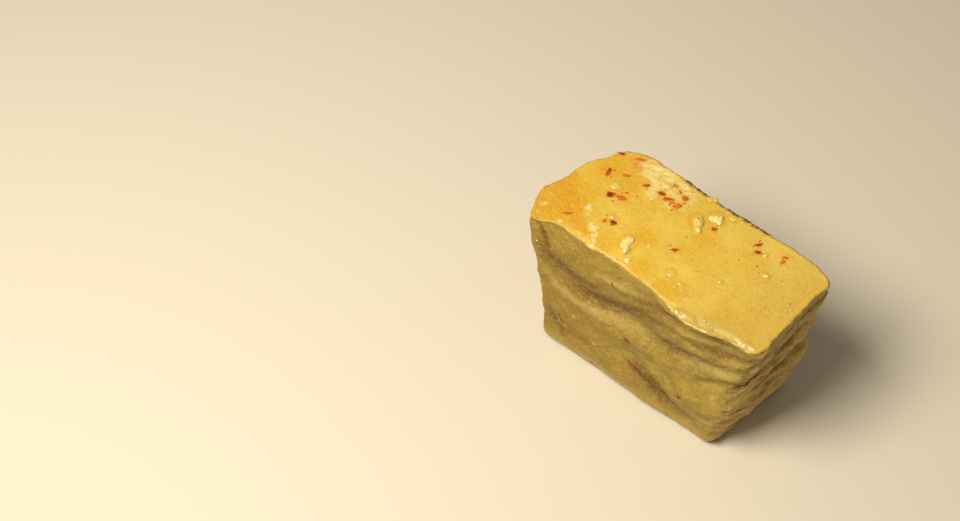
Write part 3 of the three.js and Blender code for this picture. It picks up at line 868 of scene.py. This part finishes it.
def makeFlakes():
    deselectAll()
    bpy.ops.mesh.primitive_circle_add(vertices=9, radius=1 * mm, fill_type="NGON")
    model = bpy.context.object
    bpy.ops.object.mode_set(mode="EDIT")
    bpy.ops.mesh.select_all(action="SELECT")
    bpy.ops.mesh.inset(thickness=chilli["rim"] * mm)
    bpy.ops.transform.translate(value=Vector(chilli["dome"]) * mm)
    bpy.ops.mesh.poke()
    bpy.ops.object.mode_set(mode="OBJECT")
    applyModifier(model, "SOLIDIFY", thickness=chilli["thickness"] * mm, offset=0)
    applyModifier(model, "SUBSURF", levels=1, render_levels=1)
    unit = verticesOf(model)
    out = np.hypot(unit[:, 0], unit[:, 1])
    paint(model, "edge", out / out.max())
    spread, height = chilli["spread"], chilli["height"]
    spots = []
    for x, y, length, width, turn, tone in topFlakes:
        spots.append((*touchTop(x, y), length * spread, width * spread, height, turn, tone))
        for _ in range(chilli["bits"]):
            angle = random.uniform(0, 2 * math.pi)
            out = random.uniform(*chilli["bitReach"]) * length
            size = random.uniform(*chilli["bitSize"])
            nearX, nearY = x + out * math.cos(angle), y + out * math.sin(angle)
            # a bit that would fall off the top's edge is left out
            if abs(nearX) < 17 and abs(nearX) + 2 * abs(nearY) < 29:
                bit = touchTop(nearX, nearY)
                long = size * length
                spots.append((*bit, long, long * 0.6, height * 0.7, turn + 90 * size, tone))
    for side, w, z, length, width, turn, tone in wallFlakes:
        spots.append((*touchWall(side, w, z), length * spread, width * spread, height, turn, tone / 2))
    return layCopies(model, "chilliFlakes", spots, chilli["ragged"], chilli["sink"])


# Dried red chilli skin soaked in brine: brick red where thick, orange and see-through towards its frayed
# edge.
def makeFlakeMaterial():
    material, tree, shader = newMaterial("soakedChilliSkin")
    coords = addNode(tree, "ShaderNodeTexCoord").outputs["Object"]
    tone = addNode(tree, "ShaderNodeAttribute", {"attribute_name": "tone"}).outputs["Fac"]
    fibre = addNode(tree, "ShaderNodeTexNoise", {"Scale": 1 / (0.35 * mm), "Detail": 3}, {"Vector": coords})
    fibres = addNode(tree, "ShaderNodeMapRange", {1: 0.4, 2: 0.62}, {0: fibre.outputs["Fac"]}).outputs[0]
    edge = addNode(tree, "ShaderNodeAttribute", {"attribute_name": "edge"}).outputs["Fac"]
    frayed = addNode(tree, "ShaderNodeMapRange", {1: 0.45, 2: 0.85}, {0: edge}).outputs[0]
    colour = stackColours(tree, "#842008", [
        ("#d8701a", tone, 1),
        ("#6c1a05", fibres, 0.35),
        ("#e6922c", frayed, 1),
    ])
    tree.links.new(colour, shader.inputs["Base Color"])
    body = addNode(tree, "ShaderNodeMapRange", {3: 1, 4: 0}, {0: frayed})
    tree.links.new(body.outputs[0], shader.inputs["Alpha"])
    heights = {"Height": fibre.outputs["Fac"]}
    bump = addNode(tree, "ShaderNodeBump", {"Strength": 0.4, "Distance": 0.04 * mm}, heights)
    tree.links.new(bump.outputs["Normal"], shader.inputs["Normal"])
    gloss = addNode(tree, "ShaderNodeMapRange", {3: 0.35, 4: 0.55}, {0: fibres})
    tree.links.new(gloss.outputs[0], shader.inputs["Roughness"])
    shader.inputs["IOR"].default_value = 1.35
    shader.inputs["Subsurface Weight"].default_value = 0.15
    shader.inputs["Subsurface Radius"].default_value = (1.0, 0.3, 0.1)
    shader.inputs["Subsurface Scale"].default_value = 0.2 * mm
    return material


finishPiece(makeFlakes(), makeFlakeMaterial())

# Ground spice: dark hard grains of uneven size.
speck = {"width": (0.12, 0.26), "length": (1, 1.8), "height": 0.1, "ragged": 0.8, "sink": 0.35}


def makeSpecks():
    deselectAll()
    bpy.ops.mesh.primitive_ico_sphere_add(subdivisions=1, radius=1 * mm)
    model = bpy.context.object
    bpy.ops.object.mode_set(mode="EDIT")
    bpy.ops.mesh.select_all(action="SELECT")
    bpy.ops.transform.resize(value=(1, 0.8, 0.9))
    bpy.ops.object.mode_set(mode="OBJECT")
    touches = [touchTop(*spot) for spot in topSpecks] + [touchWall(*spot) for spot in wallSpecks]
    for _ in range(moreSpecks["top"]):
        touches.append(touchTop(random.uniform(-15, 18), random.uniform(-6.5, 8)))
    for _ in range(moreSpecks["walls"]):
        touches.append(touchWall(random.choice((1, -1, -1)), random.uniform(-13, 30), random.uniform(2, 23)))
    spots = []
    for i, (place, normal) in enumerate(touches):
        small = 1 if i < len(topSpecks) + len(wallSpecks) else 0.6  # the scattered ones are finer
        width = small * random.uniform(*speck["width"])
        length = width * random.uniform(*speck["length"])
        turn, tone = random.uniform(0, 180), random.random()
        spots.append((place, normal, length, width, speck["height"], turn, tone))
    return layCopies(model, "spiceSpecks", spots, speck["ragged"], speck["sink"])


# Ground dark spice: brown to near black husk, dull and dry-looking even when wet.
def makeSpeckMaterial():
    material, tree, shader = newMaterial("groundSpice")
    coords = addNode(tree, "ShaderNodeTexCoord").outputs["Object"]
    tone = addNode(tree, "ShaderNodeAttribute", {"attribute_name": "tone"}).outputs["Fac"]
    husk = addNode(tree, "ShaderNodeTexNoise", {"Scale": 1 / (0.12 * mm), "Detail": 2}, {"Vector": coords})
    colour = stackColours(tree, "#4a2c12", [("#9a5a22", tone, 0.8), ("#24150a", husk.outputs["Fac"], 0.3)])
    tree.links.new(colour, shader.inputs["Base Color"])
    heights = {"Height": husk.outputs["Fac"]}
    bump = addNode(tree, "ShaderNodeBump", {"Strength": 0.5, "Distance": 0.03 * mm}, heights)
    tree.links.new(bump.outputs["Normal"], shader.inputs["Normal"])
    shader.inputs["Roughness"].default_value = 0.5
    shader.inputs["IOR"].default_value = 1.45
    return material


finishPiece(makeSpecks(), makeSpeckMaterial())

# Brine: drops and beads that stand on the curd, low and clear.
drop = {"height": 0.45, "narrow": 0.85, "ragged": 0.2, "sink": 0.45}  # height and narrow: shares of width


def makeDrops():
    deselectAll()
    bpy.ops.mesh.primitive_ico_sphere_add(subdivisions=3, radius=1 * mm)
    model = bpy.context.object
    bpy.ops.object.mode_set(mode="EDIT")
    bpy.ops.mesh.select_all(action="SELECT")
    bpy.ops.transform.resize(value=(1, 0.9, 0.95))
    bpy.ops.object.mode_set(mode="OBJECT")
    touches = [(*touchTop(x, y), width) for x, y, width in topDrops]
    touches += [(*touchWall(side, w, z), width) for side, w, z, width in wallDrops]
    spots = []
    for place, normal, width in touches:
        narrow, height = width * drop["narrow"], width * drop["height"]
        spots.append((place, normal, width, narrow, height, random.uniform(0, 180), 0))
    return layCopies(model, "brineDrops", spots, drop["ragged"], drop["sink"])


# Salty, slightly oily water: clear with a yellow cast, smooth, so it shows small sharp lights.
def makeDropMaterial():
    material, tree, shader = newMaterial("clearBrine")
    coords = addNode(tree, "ShaderNodeTexCoord").outputs["Object"]
    haze = addNode(tree, "ShaderNodeTexNoise", {"Scale": 1 / (0.6 * mm), "Detail": 2}, {"Vector": coords})
    colour = stackColours(tree, "#f0d890", [("#e4c060", haze.outputs["Fac"], 0.6)])
    tree.links.new(colour, shader.inputs["Base Color"])
    gloss = addNode(tree, "ShaderNodeMapRange", {3: 0.02, 4: 0.08}, {0: haze.outputs["Fac"]})
    tree.links.new(gloss.outputs[0], shader.inputs["Roughness"])
    shader.inputs["IOR"].default_value = 1.45
    shader.inputs["Alpha"].default_value = 0.35
    shader.inputs["Coat Weight"].default_value = 1
    shader.inputs["Coat IOR"].default_value = 1.6
    return material


finishPiece(makeDrops(), makeDropMaterial())

# width in metres, and the gap under the foot in millimetres
table = {"colour": "#d1ccbe", "roughness": 0.8, "width": 3, "gap": 0.02}


def makeFloor():
    deselectAll()
    bpy.ops.mesh.primitive_plane_add(size=table["width"], location=(0, 0, -table["gap"] * mm))
    floor = bpy.context.object
    floor.name = "floor"
    material, tree, shader = newMaterial("mattePaintedTable")
    shader.inputs["Base Color"].default_value = linearColour(table["colour"])
    shader.inputs["Roughness"].default_value = table["roughness"]
    floor.data.materials.append(material)


# size and distance in metres, and power in watts
softbox = {
    "size": 0.12,
    "power": 0.95,
    "distance": 0.27,
    "from": (-0.19, -0.47, 0.86),
    "colour": "#fff3de",
}
room = {"colour": "#fff0d8", "strength": 0.24}


def makeLights():
    lamp = bpy.data.lights.new("softbox", "AREA")
    lamp.size = softbox["size"]
    lamp.energy = softbox["power"]
    lamp.color = linearColour(softbox["colour"])[:3]
    key = bpy.data.objects.new("softbox", lamp)
    scene.collection.objects.link(key)
    direction = Vector(softbox["from"]).normalized()
    key.location = direction * softbox["distance"]
    key.rotation_euler = (-direction).to_track_quat("-Z", "Y").to_euler()
    world = bpy.data.worlds.new("roomLight")
    scene.world = world
    world.use_nodes = True
    background = world.node_tree.nodes["Background"]
    background.inputs["Color"].default_value = linearColour(room["colour"])
    background.inputs["Strength"].default_value = room["strength"]


view = {"from": (87.4, -143.8, 237.8), "at": (-31.2, -4.5, 0), "lens": 74.1, "sensor": 36}


def makeCamera():
    lens = bpy.data.cameras.new("camera")
    lens.sensor_width = view["sensor"]
    lens.lens = view["lens"]
    camera = bpy.data.objects.new("camera", lens)
    scene.collection.objects.link(camera)
    camera.location = Vector(view["from"]) * mm
    aim = Vector(view["at"]) * mm
    camera.rotation_euler = (aim - camera.location).to_track_quat("-Z", "Y").to_euler()
    scene.camera = camera


makeFloor()
makeLights()
makeCamera()
print("floor, lights and camera set")
